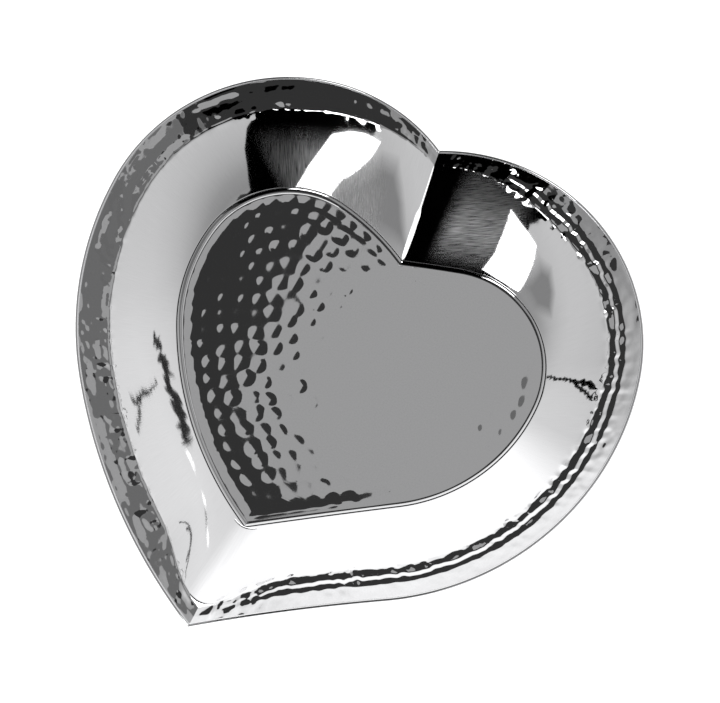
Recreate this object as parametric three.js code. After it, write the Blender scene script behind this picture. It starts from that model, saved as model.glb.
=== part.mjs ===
// Heart-shaped dish in polished, hand-hammered metal. Millimetres, +Z up.
// The heart lies in XY with its cleft toward +Y and its tip toward -Y.
// Origin: centre of the footprint box, at the level the dish stands on.
import * as THREE from 'three';

// ---------- driving dimensions ----------
const GAP = 0.36;              // clearance between neighbouring pieces
const SHEET = 1.1;             // thickness of the metal sheet
const PAD_HEIGHT = 1.8;        // the pads lift the floor this far off the table
const PAD_RADIUS = 4.5;
const PAD_ROUND = 0.4;         // rounding of the pad's lower edge
const FLOOR_RING = 1.8;        // width of the sloped ring round the flat floor
const FLOOR_RING_RISE = 0.4;   // how far that ring climbs to the crease
const WALL_RISE = 18.6;        // crease to crest
const WALL_HOLLOW = 0.32;      // 0 = straight wall, 1 = wall starts out level
const CREST_DROP = 0.5;        // flange starts this far below the wall's lip
const GUTTER_DEPTH = 1.7;      // dip of the flange below its edge
const GUTTER_PLACE = 0.38;     // where across the flange the dip is deepest
const FLANGE_WIDTH = 11.6;     // crest to outer edge along the sides
const FLANGE_AT_CLEFT = 5.2;
const FLANGE_AT_TIP = 7.0;
const CLEFT_TAPER = 0.2;       // share of a half outline over which it widens
const TIP_TAPER = 0.12;
const BEAD_RADIUS = 0.65;      // rounded edge bead
const SEAM_WIDTH = 1.7;        // solder bead on the cleft ridge and tip valley
const SEAM_CROWN = 0.35;       // how far that bead stands proud of the wall
const SEAM_END_INSET = 0.6;    // the seam beads stop short of crease and crest

// ---------- resolution ----------
const STATIONS = 52;           // sections along each half of the heart
const ARC_STEPS = 40;          // points per outline arc before resampling
const WALL_STEPS = 6;
const FLANGE_STEPS = 6;
const BEAD_SIDES = 8;
const SEAM_STEPS = 6;
const PAD_SIDES = 28;

// Outlines. Each half leaves the cleft at a heading above horizontal, bends
// down through [radius, degrees] arcs and closes on the tip with one more arc.
// The dish is shaped by hand, so its two halves are not quite the same.
const EDGE = {
  cleft: [-0.5, 89],
  tip: [-0.5, -97.4],
  left: { heading: 29.5, arcs: [[66.7, 120.4], [114, 37.3]] },
  right: { heading: 26.4, arcs: [[68.8, 102.7], [95.9, 72.3]] },
};
const CREASE = {
  cleft: [2.8, 51.4],
  tip: [-2.6, -58.2],
  left: { heading: 28.9, arcs: [[92.4, 18.8], [34.4, 93.5], [61.5, 35.4]] },
  right: { heading: 18.5, arcs: [[485, 2.5], [35.9, 104.4], [61, 58.1]] },
};
const PADS = [[-44, 26], [44, 26], [-20, -28], [20, -28]];

// ---------- levels ----------
const FLOOR_TOP = PAD_HEIGHT + SHEET;
const CREASE_Z = FLOOR_TOP + FLOOR_RING_RISE;
const CREST_Z = CREASE_Z + WALL_RISE;
const EDGE_Z = CREST_Z - CREST_DROP;

// ---------- materials ----------
const metal = (roughness) => new THREE.MeshStandardMaterial({
  color: 0xc9cbce,
  roughness,
  metalness: 1,
});
const rubber = () => new THREE.MeshStandardMaterial({
  color: 0x2b2b2d,
  roughness: 0.85,
  metalness: 0,
});

// ---------- outlines ----------
const DEG = Math.PI / 180;
const v2 = (x, y) => new THREE.Vector2(x, y);

// Points of one half outline from cleft to tip. side: -1 left, +1 right.
function halfOutline(outline, side) {
  const { heading, arcs } = side < 0 ? outline.left : outline.right;
  let p = v2(outline.cleft[0] * side, outline.cleft[1]);
  const end = v2(outline.tip[0] * side, outline.tip[1]);
  let h = heading * DEG;
  const points = [p];
  const bend = (radius, sweep) => {
    const centre = v2(p.x + radius * Math.sin(h), p.y - radius * Math.cos(h));
    const start = p.clone();
    for (let i = 1; i <= ARC_STEPS; i += 1) {
      p = start.clone().rotateAround(centre, -sweep * i / ARC_STEPS);
      points.push(p);
    }
    h -= sweep;
  };
  arcs.forEach(([radius, degrees]) => bend(radius, degrees * DEG));
  const chord = end.clone().sub(p);
  const turn = Math.atan2(
    Math.sin(h - chord.angle()),
    Math.cos(h - chord.angle()),
  );
  bend(chord.length() / (2 * Math.sin(turn)), 2 * turn);
  return points.map((q) => v2(q.x * side, q.y));
}

// Evenly spaced points along a polyline.
function resample(points, count) {
  const lengths = [0];
  for (let i = 1; i < points.length; i += 1) {
    lengths.push(lengths[i - 1] + points[i].distanceTo(points[i - 1]));
  }
  const total = lengths[lengths.length - 1];
  const result = [];
  let k = 0;
  for (let i = 0; i <= count; i += 1) {
    const want = total * i / count;
    while (k < points.length - 2 && lengths[k + 1] < want) k += 1;
    const share = (want - lengths[k]) / (lengths[k + 1] - lengths[k]);
    result.push(points[k].clone().lerp(points[k + 1], Math.min(share, 1)));
  }
  return result;
}

const smooth = (t) => {
  const c = Math.min(Math.max(t, 0), 1);
  return c * c * (3 - 2 * c);
};

// Width of the flange at share s of the way from cleft to tip.
function flangeWidth(s) {
  const fromCleft = FLANGE_AT_CLEFT
    + (FLANGE_WIDTH - FLANGE_AT_CLEFT) * smooth(s / CLEFT_TAPER);
  const fromTip = FLANGE_AT_TIP
    + (FLANGE_WIDTH - FLANGE_AT_TIP) * smooth((1 - s) / TIP_TAPER);
  return Math.min(fromCleft, fromTip);
}

// Inward direction at each point of the edge. At the cleft and the tip it
// follows the joint line to the crease, so that the two halves meet there.
function inwardDirections(edge, crease, side) {
  const last = edge.length - 1;
  const toCrease = (i) => crease[i].clone().sub(edge[i]).normalize();
  return edge.map((p, i) => {
    const a = edge[Math.max(i - 1, 0)];
    const b = edge[Math.min(i + 1, last)];
    const t = b.clone().sub(a).normalize();
    const normal = v2(t.y * side, -t.x * side);
    const s = i / last;
    const joint = toCrease(s < 0.5 ? 0 : last);
    const taper = s < 0.5 ? s / CLEFT_TAPER : (1 - s) / TIP_TAPER;
    return joint.lerp(normal, smooth(taper)).normalize();
  });
}

function crestOutline(edge, crease, side) {
  const inward = inwardDirections(edge, crease, side);
  const last = edge.length - 1;
  return edge.map((p, i) => (
    p.clone().addScaledVector(inward[i], flangeWidth(i / last))
  ));
}

// Cut both ends of a half outline back to a distance from the joint lines.
function trimmed(points, crease, edge, clearance) {
  const offLine = (p, a, b) => Math.abs(
    (b.x - a.x) * (p.y - a.y) - (b.y - a.y) * (p.x - a.x),
  ) / a.distanceTo(b);
  const cleft = (p) => offLine(p, crease[0], edge[0]) - clearance;
  const tip = (p) => offLine(p, crease[crease.length - 1], edge[edge.length - 1])
    - clearance;
  const cut = (list, excess) => {
    const k = list.findIndex((p) => excess(p) > 0);
    const share = excess(list[k]) / (excess(list[k]) - excess(list[k - 1]));
    return [list[k].clone().lerp(list[k - 1], share), ...list.slice(k)];
  };
  return cut(cut(points, cleft).reverse(), tip).reverse();
}

// ---------- meshes ----------
function volumeOf(positions, index) {
  const [a, b, c] = [0, 1, 2].map(() => new THREE.Vector3());
  let sum = 0;
  for (let i = 0; i < index.length; i += 3) {
    [a, b, c].forEach((v, k) => v.fromArray(positions, index[i + k] * 3));
    sum += a.dot(b.cross(c));
  }
  return sum;
}

// Geometry from points and triangles, turned so that its faces look outward.
function solid(points, index) {
  const positions = points.flatMap((p) => [p.x, p.y, p.z]);
  if (volumeOf(positions, index) < 0) index.reverse();
  const geometry = new THREE.BufferGeometry();
  geometry.setAttribute('position', new THREE.Float32BufferAttribute(positions, 3));
  geometry.setIndex(index);
  geometry.computeVertexNormals();
  return geometry;
}

// Skin over a row of sections; each section lists the points of its top from
// one side to the other and then those of its underside on the way back.
function sweep(sections, closed) {
  const n = sections[0].length;
  const rows = sections.length;
  const index = [];
  const quad = (a, b, c, d) => index.push(a, b, c, a, c, d);
  for (let i = 0; i < (closed ? rows : rows - 1); i += 1) {
    const here = i * n;
    const next = ((i + 1) % rows) * n;
    for (let j = 0; j < n; j += 1) {
      const k = (j + 1) % n;
      quad(here + j, here + k, next + k, next + j);
    }
  }
  if (!closed) {
    const end = (rows - 1) * n;
    for (let j = 0; j < n / 2 - 1; j += 1) {
      quad(j, n - 1 - j, n - 2 - j, j + 1);
      quad(end + j + 1, end + n - 2 - j, end + n - 1 - j, end + j);
    }
  }
  return solid(sections.flat(), index);
}

// Section between two plan points: level(t) and depth(t) give the height of
// the top and the thickness below it at share t of the way across.
function bandSection(from, to, insetFrom, insetTo, steps, level, depth) {
  const across = to.clone().sub(from);
  const length = across.length();
  const top = [];
  const bottom = [];
  for (let i = 0; i <= steps; i += 1) {
    const r = insetFrom + (length - insetFrom - insetTo) * i / steps;
    const p = from.clone().addScaledVector(across, r / length);
    const t = r / length;
    top.push(new THREE.Vector3(p.x, p.y, level(t)));
    bottom.unshift(new THREE.Vector3(p.x, p.y, level(t) - depth(t, length)));
  }
  return [...top, ...bottom];
}

// Height of the wall above the crease at share t of the way up.
const wallLevel = (t) => WALL_RISE * ((1 - WALL_HOLLOW) * t + WALL_HOLLOW * t * t);
const wallSlope = (t, run) => (
  WALL_RISE * (1 - WALL_HOLLOW + 2 * WALL_HOLLOW * t) / run
);
const wallDepth = (t, run) => SHEET * Math.hypot(1, wallSlope(t, run));

// Height of the flange above the edge level at share t from crest to edge.
function gutterLevel(t) {
  const u = t < GUTTER_PLACE
    ? t / GUTTER_PLACE
    : (1 - t) / (1 - GUTTER_PLACE);
  return -GUTTER_DEPTH * smooth(u);
}

// Points of a closed loop moved inward by a distance, with mitred corners.
function insetLoop(points, distance) {
  const n = points.length;
  return points.map((p, i) => {
    const before = p.clone().sub(points[(i + n - 1) % n]).normalize();
    const after = points[(i + 1) % n].clone().sub(p).normalize();
    const a = v2(-before.y, before.x);
    const b = v2(-after.y, after.x);
    const miter = a.clone().add(b).normalize();
    return p.clone().addScaledVector(miter, distance / miter.dot(a));
  });
}

// Whole outline as one anticlockwise loop, from two halves.
const wholeLoop = (left, right) => [
  ...left.slice(0, -1),
  ...right.slice(1).reverse(),
];

// ---------- pieces ----------
const halves = [[-1, 'left'], [1, 'right']].map(([side, name]) => {
  const edge = resample(halfOutline(EDGE, side), STATIONS);
  const crease = resample(halfOutline(CREASE, side), STATIONS);
  return { name, edge, crease, crest: crestOutline(edge, crease, side) };
});

const group = new THREE.Group();
group.name = 'heart_dish';
function add(name, geometry, material) {
  const mesh = new THREE.Mesh(geometry, material);
  mesh.name = name;
  group.add(mesh);
}

// Floor: flat heart with a narrow ring sloping up to the crease.
function floorPlate() {
  const rim = insetLoop(wholeLoop(halves[0].crease, halves[1].crease), GAP);
  const flat = insetLoop(rim, FLOOR_RING - GAP);
  const n = rim.length;
  const at = (loop, z) => loop.map((p) => new THREE.Vector3(p.x, p.y, z));
  const points = [
    ...at(flat, FLOOR_TOP),
    ...at(rim, CREASE_Z),
    ...at(rim, CREASE_Z - SHEET),
    ...at(flat, FLOOR_TOP - SHEET),
  ];
  const cap = THREE.ShapeUtils.triangulateShape(flat, []);
  const underside = 3 * n;
  const index = cap.flatMap(([a, b, c]) => [
    a, b, c, underside + c, underside + b, underside + a,
  ]);
  for (let ring = 0; ring < underside; ring += n) {
    for (let i = 0; i < n; i += 1) {
      const j = (i + 1) % n;
      const [a, b] = [ring + i, ring + j];
      index.push(a, a + n, b + n, a, b + n, b);
    }
  }
  return solid(points, index);
}
add('floor_plate', floorPlate(), metal(0.16));

// Walls: one sloped, slightly hollow band on each side of the heart.
halves.forEach(({ name, edge, crease, crest }) => {
  const clearance = SEAM_WIDTH / 2 + GAP;
  const low = resample(trimmed(crease, crease, edge, clearance), STATIONS);
  const high = resample(trimmed(crest, crease, edge, clearance), STATIONS);
  const sections = low.map((p, i) => bandSection(
    p,
    high[i],
    0,
    GAP / 2,
    WALL_STEPS,
    (t) => CREASE_Z + wallLevel(t),
    wallDepth,
  ));
  add(`wall_${name}`, sweep(sections, false), metal(0.14));
});

// Flanges: hammered into a shallow gutter between crest and edge bead.
halves.forEach(({ name, edge, crease, crest }) => {
  const inner = resample(trimmed(crest, crease, edge, GAP / 2), STATIONS);
  const outer = resample(trimmed(edge, crease, edge, GAP / 2), STATIONS);
  const sections = inner.map((p, i) => bandSection(
    p,
    outer[i],
    GAP / 2 + GAP / 2,
    2 * BEAD_RADIUS + GAP,
    FLANGE_STEPS,
    (t) => EDGE_Z + gutterLevel(t),
    () => SHEET,
  ));
  add(`rim_${name}`, sweep(sections, false), metal(0.18));
});

// Edge bead: round wire all the way round the outline.
function edgeBead() {
  const loop = wholeLoop(halves[0].edge, halves[1].edge);
  const rings = [];
  for (let k = 0; k < BEAD_SIDES; k += 1) {
    const a = 2 * Math.PI * k / BEAD_SIDES;
    const inset = BEAD_RADIUS * (1 - Math.cos(a));
    const z = EDGE_Z + BEAD_RADIUS * (Math.sin(a) - 1);
    rings.push(insetLoop(loop, inset).map((p) => new THREE.Vector3(p.x, p.y, z)));
  }
  const sections = loop.map((_, i) => rings.map((ring) => ring[i]));
  return sweep(sections, true);
}
add('edge_bead', edgeBead(), metal(0.12));

// Seam beads: rounded strips along the cleft ridge and the tip valley.
function seamBead(low, high) {
  const run = high.distanceTo(low);
  const along = high.clone().sub(low).normalize();
  const across = v2(-along.y, along.x);
  const sections = [];
  for (let i = 0; i <= SEAM_STEPS; i += 1) {
    const r = SEAM_END_INSET + (run - 2 * SEAM_END_INSET) * i / SEAM_STEPS;
    const t = r / run;
    const z = CREASE_Z + wallLevel(t);
    const centre = low.clone().addScaledVector(along, r);
    const at = (offset, height) => new THREE.Vector3(
      centre.x + across.x * offset,
      centre.y + across.y * offset,
      z + height,
    );
    const half = SEAM_WIDTH / 2;
    const under = -wallDepth(t, run);
    sections.push([
      at(-half, 0),
      at(-half / 2, SEAM_CROWN),
      at(half / 2, SEAM_CROWN),
      at(half, 0),
      at(half, under),
      at(half / 2, under),
      at(-half / 2, under),
      at(-half, under),
    ]);
  }
  return sweep(sections, false);
}
const { crease, crest } = halves[0];
add('cleft_seam', seamBead(crease[0], crest[0]), metal(0.1));
add('tip_seam', seamBead(crease[STATIONS], crest[STATIONS]), metal(0.1));

// Pads: round rubber discs under the floor.
const PAD_PROFILE = [
  [0, 0],
  [PAD_RADIUS - PAD_ROUND, 0],
  [PAD_RADIUS, PAD_ROUND],
  [PAD_RADIUS, PAD_HEIGHT - GAP],
  [0, PAD_HEIGHT - GAP],
].map(([r, z]) => v2(r, z));
PADS.forEach(([x, y], i) => {
  const pad = new THREE.LatheGeometry(PAD_PROFILE, PAD_SIDES);
  pad.rotateX(Math.PI / 2);
  pad.translate(x, y, 0);
  add(`foot_pad_${i + 1}`, pad, rubber());
});

export default group;
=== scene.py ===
# Heart-shaped dish in polished, hand-hammered metal: the visual model.
import math

import bmesh
import bpy
import numpy as np
from mathutils import Matrix, Vector
from mathutils.kdtree import KDTree


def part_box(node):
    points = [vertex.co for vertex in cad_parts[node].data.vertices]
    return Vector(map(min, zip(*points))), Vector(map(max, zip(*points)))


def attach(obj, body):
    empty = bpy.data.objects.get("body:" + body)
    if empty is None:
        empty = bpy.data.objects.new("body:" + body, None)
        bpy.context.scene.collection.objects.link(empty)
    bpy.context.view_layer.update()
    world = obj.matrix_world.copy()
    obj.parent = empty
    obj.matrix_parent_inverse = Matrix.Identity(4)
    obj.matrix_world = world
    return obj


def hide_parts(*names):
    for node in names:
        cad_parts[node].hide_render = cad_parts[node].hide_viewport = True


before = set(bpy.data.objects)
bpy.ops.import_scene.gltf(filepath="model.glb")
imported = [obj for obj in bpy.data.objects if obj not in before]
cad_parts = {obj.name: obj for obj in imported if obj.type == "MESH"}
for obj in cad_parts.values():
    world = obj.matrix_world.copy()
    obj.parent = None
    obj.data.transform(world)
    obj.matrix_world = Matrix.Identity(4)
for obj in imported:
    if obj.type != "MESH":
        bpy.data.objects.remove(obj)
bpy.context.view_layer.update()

MM = 0.001

# ---------- dimensions of the dish, in millimetres ----------
SHEET = 1.1                    # thickness of the metal sheet
FLOOR_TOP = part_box("floor_plate")[0][2] / MM + SHEET
CREASE_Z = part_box("floor_plate")[1][2] / MM
EDGE_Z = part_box("edge_bead")[1][2] / MM
FLOOR_RING = 1.8               # width of the hollow ring round the flat floor
# How hollow the wall is (0 = straight), at shares of the way from cleft to tip.
WALL_HOLLOW = {
    "left": ((0, 0.36), (0.3, 0.33), (0.5, 0.3), (0.85, 0.25), (1, 0.3)),
    "right": ((0, 0.4), (0.3, 0.42), (0.45, 0.15), (0.85, 0.1), (1, 0.3)),
}
LIP_WIDTH = 1.0                # the wall rounds over in this last stretch
GROOVE_WIDTH = 0.22            # line between floor and wall, darkened with painted shade
GROOVE_DEPTH = 0.3
FLANGE_WIDTH = 11.3            # crest to outer edge along the sides
FLANGE_AT_CLEFT = 5.2
FLANGE_AT_TIP = 7.0
CLEFT_TAPER = 0.2              # share of a half outline over which it widens
TIP_TAPER = 0.12
BEAD_RADIUS = 0.65
BEAD_INSET = 0.05              # keeps the finer curve of the bead inside the CAD outline
SEAM_WIDTH = 1.9
SEAM_NARROW = 0.3              # share of the width that the upper half keeps
SEAM_CHANGE = (0.52, 0.12)     # where the width changes, and over how much of the length
SEAM_CROWN = 0.13
SEAM_INSET = 0.6
SEAM_LIFT = 0.12
SEAM_SIDES = 20
SEAM_ROWS = 120
SEAM_LEAN = 10                 # degrees the bead is turned toward the left wall
FILLET_ROWS = 18               # stations covered on each side of the tip joint
FILLET_COLS = 25
FILLET_START = 4               # first column of the wall that the fillet covers
FILLET_LIFT = 0.005
FILLET_DEPTH = 0.1
PAD_EDGE = 0.5
SHARP_ANGLE = 50               # degrees; a sharper bend in a mesh is shaded as a hard line
FLANGE_START = 0.2             # slope at which the rounded crest ends

# Slope of the flange at shares of the way from crest to edge bead. The middle of
# each half has its own section; all four ends share one, so the joints meet.
FLANGE_SLOPES = {
    "left": ((0, 0.2), (0.08, 0.27), (1, 0.27)),
    "right": ((0, 0.205), (0.17, 0.205), (0.21, 0.52), (0.27, 0.52), (0.31, 0.205), (0.43, 0.205),
              (0.48, 0.38), (1, 0.4)),
    "end": ((0, 0.27), (0.4, 0.27), (0.5, 0.32), (1, 0.32)),
}
FLANGE_BLEND = 0.16            # share of a half outline over which the section changes
RIM_WAVES = {"left": 0.11, "right": 0.05}   # height of the uneven hammering on the flange
CREST_JAG = {"left": 0.22, "right": 0.6}    # how far hammering pushes the crest line about
CREST_JAG_REACH = (1.3, 6)     # how far that reaches into the wall and onto the flange

# Outlines. Each half leaves the cleft at a heading above horizontal, bends
# down through (radius, degrees) arcs and closes on the tip with one more arc.
EDGE = {
    "cleft": (-0.5, 89),
    "tip": (-0.5, -97.4),
    "left": (29.5, [(66.7, 120.4), (114, 37.3)]),
    "right": (26.4, [(68.8, 102.7), (95.9, 72.3)]),
}
CREASE = {
    "cleft": (2.8, 51.4),
    "tip": (-2.6, -58.2),
    "left": (28.9, [(92.4, 18.8), (34.4, 93.5), (61.5, 35.4)]),
    "right": (18.5, [(485, 2.5), (35.9, 104.4), (61, 58.1)]),
}
SIDES = (("left", -1), ("right", 1))

# Brushed areas: distance from the cleft (from, to), share of the wall (from, to).
BRUSHED = {"left": (16, 78, -0.5, 0.85), "right": (9, 42, -0.05, 1.15)}
# Heading across the brush lines, in degrees from the heart's own x axis.
BRUSH_HEADING = {"left": 26, "right": 116}

# ---------- hammer marks ----------
FLOOR_MARK_PITCH = 6.1
FLOOR_MARK_RADIUS = 2.75
FLOOR_MARK_DEPTH = 0.085
FLOOR_MARK_INSETS = (4.6, 46)  # first row's distance from the crease, and the limit of the last
FLOOR_DISH_RISE = 0.16
FLOOR_DISH_WIDTH = 4.0
FLOOR_DIP = 0.15
FLOOR_DIP_WIDTH = 4.5
RIM_MARK_PITCH = 5.6
CREST_MARK = (0.0, 2.9, 1.6, 0.04)     # place across, half length, half width, depth
GUTTER_MARK = (3.4, 3.0, 2.4, 0.05)

# Unevenness, as (height, size along, size across) of smooth random fields.
FLANGE_WAVE_SIZE = (7, 3)
FLANGE_GRAIN = (0.02, 1.8, 1.6)
WALL_SWELL = (0.03, 26, 15)
WALL_RIPPLE = (0.003, 5, 4)
FLOOR_SWELL = (0.02, 14, 14)
FLOOR_GRAIN = (0.002, 3, 3)

# ---------- mesh resolution ----------
ARC_STEPS = 120
STATIONS = 760                 # sections along each half
WALL_COLS = 52
LIP_COLS = 12
RIM_COLS = 64
UNDER_COLS = 10
FLOOR_STATIONS = 520
FLOOR_COLS = 150
RING_STEPS = 8
BEAD_SIDES = 16


# ---------- outlines ----------
def unit(v):
    return v / np.linalg.norm(v, axis=-1, keepdims=True)


def half_outline(outline, name, side):
    """Points of one half of an outline, from cleft to tip."""
    degrees, arcs = outline[name]
    flip = np.array([side, 1.0])
    p = np.array(outline["cleft"]) * flip
    end = np.array(outline["tip"]) * flip
    heading = math.radians(degrees)
    points = [p]

    def bend(p, heading, radius, sweep):
        out = radius * np.array([math.sin(heading), -math.cos(heading)])
        centre = p + out
        for i in range(1, ARC_STEPS + 1):
            c = math.cos(-sweep * i / ARC_STEPS)
            s = math.sin(-sweep * i / ARC_STEPS)
            points.append(centre - np.array([c * out[0] - s * out[1], s * out[0] + c * out[1]]))
        return points[-1], heading - sweep

    for radius, sweep in arcs:
        p, heading = bend(p, heading, radius, math.radians(sweep))
    chord = end - p
    turn = heading - math.atan2(chord[1], chord[0])
    turn = math.atan2(math.sin(turn), math.cos(turn))
    bend(p, heading, np.linalg.norm(chord) / (2 * math.sin(turn)), 2 * turn)
    return np.array(points) * flip


def resample(points, count):
    """count + 1 evenly spaced points along a polyline."""
    steps = np.linalg.norm(np.diff(points, axis=0), axis=1)
    along = np.concatenate([[0], np.cumsum(steps)])
    want = np.linspace(0, along[-1], count + 1)
    return np.stack([np.interp(want, along, points[:, k]) for k in (0, 1)], 1)


def smooth(t):
    c = np.clip(t, 0, 1)
    return c * c * (3 - 2 * c)


def flange_width(s):
    from_cleft = FLANGE_AT_CLEFT + (FLANGE_WIDTH - FLANGE_AT_CLEFT) * smooth(s / CLEFT_TAPER)
    from_tip = FLANGE_AT_TIP + (FLANGE_WIDTH - FLANGE_AT_TIP) * smooth((1 - s) / TIP_TAPER)
    return np.minimum(from_cleft, from_tip)


def inward_directions(edge, crease, side):
    """Inward at each point of the edge; at cleft and tip it follows the joint line."""
    tangent = unit(np.gradient(edge, axis=0))
    normal = np.stack([tangent[:, 1] * side, -tangent[:, 0] * side], 1)
    s = np.linspace(0, 1, len(edge))
    ends = unit(crease[[0, -1]] - edge[[0, -1]])
    joint = np.where((s < 0.5)[:, None], ends[0], ends[1])
    taper = smooth(np.where(s < 0.5, s / CLEFT_TAPER, (1 - s) / TIP_TAPER))[:, None]
    return unit(joint * (1 - taper) + normal * taper)


def half_lines(name, side):
    """Edge, crest and crease of one half, with matching points."""
    edge = resample(half_outline(EDGE, name, side), STATIONS)
    crease = resample(half_outline(CREASE, name, side), STATIONS)
    inward = inward_directions(edge, crease, side)
    width = flange_width(np.linspace(0, 1, STATIONS + 1))
    crest = resample(edge + inward * width[:, None], STATIONS)
    return edge, crest, crease


def whole_loop(left, right):
    return np.concatenate([left[:-1], right[1:][::-1]])


def inset_loop(points, distance):
    """A closed anticlockwise loop moved inward, with mitred corners."""
    before = unit(points - np.roll(points, 1, 0))
    after = unit(np.roll(points, -1, 0) - points)
    a = np.stack([-before[:, 1], before[:, 0]], 1)
    b = np.stack([-after[:, 1], after[:, 0]], 1)
    miter = unit(a + b)
    return points + miter * (distance / np.sum(miter * a, 1))[:, None]


# ---------- irregularity ----------
def wander(u, v, size_u, size_v, seed):
    """Smooth random field in -1..1 with features of the given sizes."""
    rng = np.random.default_rng(seed)
    table = rng.uniform(-1, 1, (97, 89))
    x, y = u / size_u + 40, v / size_v + 40
    i, j = np.floor(x).astype(int), np.floor(y).astype(int)
    fx, fy = smooth(x - i), smooth(y - j)

    def at(a, b):
        return table[a % 97, b % 89]

    low = at(i, j) * (1 - fx) + at(i + 1, j) * fx
    high = at(i, j + 1) * (1 - fx) + at(i + 1, j + 1) * fx
    return low * (1 - fy) + high * fy


def uneven(u, v, form, seed):
    """Random field with the height and sizes of one form."""
    height, size_u, size_v = form
    return height * wander(u, v, size_u, size_v, seed)


def press(height, u, v, marks, soften=0.02):
    """Presses oval hollows (centre u, v, half length, half width, depth) into a height field."""
    total = np.ones_like(height)
    for cu, cv, ru, rv, depth in marks:
        near = (np.abs(u - cu) < 1.4 * ru) & (np.abs(v - cv) < 1.4 * rv)
        rho = ((u[near] - cu) / ru) ** 2 + ((v[near] - cv) / rv) ** 2
        total[near] += np.exp(np.clip(depth * (1 - rho) / soften, -40, 40))
    return height - soften * np.log(total)


# ---------- mesh building ----------
def soften_shading(mesh):
    """Smooth shading, with hard lines kept where a sheet turns its edge."""
    mesh.shade_smooth()
    mesh.set_sharp_from_angle(angle=math.radians(SHARP_ANGLE))


def build_mesh(name, points, quads, polygons=(), uv=None, groove=None, brushed=None, grain=None):
    """One mesh object from points in millimetres, quads and a few large end faces."""
    mesh = bpy.data.meshes.new(name)
    loops = np.concatenate([quads.ravel()] + [np.asarray(p) for p in polygons]).astype(np.int32)
    sizes = np.array([4] * len(quads) + [len(p) for p in polygons], dtype=np.int32)
    starts = np.concatenate([[0], np.cumsum(sizes)[:-1]]).astype(np.int32)
    mesh.vertices.add(len(points))
    mesh.vertices.foreach_set("co", (points * MM).astype(np.float32).ravel())
    mesh.loops.add(len(loops))
    mesh.loops.foreach_set("vertex_index", loops)
    mesh.polygons.add(len(sizes))
    mesh.polygons.foreach_set("loop_start", starts)
    mesh.polygons.foreach_set("loop_total", sizes)
    mesh.update(calc_edges=True)
    soften_shading(mesh)
    if uv is not None:
        layer = mesh.uv_layers.new(name="work")
        layer.data.foreach_set("uv", (uv[loops] * MM).astype(np.float32).ravel())
    if groove is not None:
        attribute = mesh.attributes.new("groove", "FLOAT", "POINT")
        attribute.data.foreach_set("value", groove.astype(np.float32))
    if brushed is not None:
        attribute = mesh.attributes.new("brushed", "FLOAT", "POINT")
        attribute.data.foreach_set("value", brushed.astype(np.float32))
    if grain is not None:
        c, s = math.cos(grain), math.sin(grain)
        across = np.stack([points[:, 0] * c + points[:, 1] * s, points[:, 1] * c - points[:, 0] * s], 1)
        layer = mesh.uv_layers.new(name="grain")
        layer.data.foreach_set("uv", (across[loops] * MM).astype(np.float32).ravel())
    obj = bpy.data.objects.new(name, mesh)
    bpy.context.scene.collection.objects.link(obj)
    return obj


def ring_quads(rows, cols, closed):
    """Quads of a skin over rows of closed loops with cols points each."""
    i = np.arange(rows if closed else rows - 1)
    j = np.arange(cols)
    i, j = np.meshgrid(i, j, indexing="ij")
    k, m = (i + 1) % rows, (j + 1) % cols
    return np.stack([i * cols + j, k * cols + j, k * cols + m, i * cols + m], -1).reshape(-1, 4)


def outward(points, quads, polygons):
    """Turns all faces round if the closed body is inside out."""
    tris = np.concatenate([quads[:, [0, 1, 2]], quads[:, [0, 2, 3]]])
    a, b, c = (points[tris[:, k]] for k in range(3))
    if np.sum(a * np.cross(b, c)) < 0:
        return quads[:, ::-1], [p[::-1] for p in polygons]
    return quads, polygons


def band(name, top, under, along, across, groove=None, brushed=None, grain=None):
    """A closed sheet-metal band: top and underside grids share their rows."""
    rows, cols = top.shape[:2]
    sections = np.concatenate([top, under[:, ::-1]], 1)
    n = sections.shape[1]
    points = sections.reshape(-1, 3)
    polygons = [np.arange(n), (rows - 1) * n + np.arange(n)[::-1]]
    quads, polygons = outward(points, ring_quads(rows, n, False), polygons)
    uv = np.zeros((rows, n, 2))
    uv[:, :cols, 0], uv[:, :cols, 1] = along, across
    uv[:, cols:, 0] = along[:, :1]
    uv[:, cols:, 1] = np.linspace(1, 0, n - cols) * across[:, -1:]
    # Painted shade in the crease, carried in the groove attribute on the top surface only.
    marks = np.zeros((rows, n))
    if groove is not None:
        marks[:, :cols] = groove
    rubbed = np.zeros((rows, n))
    if brushed is not None:
        rubbed[:, :cols] = brushed
    uv = uv.reshape(-1, 2)
    return build_mesh(name, points, quads, polygons, uv, marks.ravel(), rubbed.ravel(), grain)


def thickened(top, columns, thickness):
    """Underside grid below a top grid, at a share of its columns."""
    normal = np.cross(np.gradient(top, axis=0), np.gradient(top, axis=1))
    normal = unit(normal) * np.sign(normal[..., 2:])
    pick = np.linspace(0, top.shape[1] - 1, columns).round().astype(int)
    return (top - normal * thickness)[:, pick]


# ---------- the halves ----------
def blend(name, table, count):
    """A half's own value in its middle and the shared value at its ends."""
    s = np.linspace(0, 1, count)[:, None]
    middle = smooth(np.minimum(s, 1 - s) / FLANGE_BLEND)
    return table[name] * middle + table["end"] * (1 - middle)


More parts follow.
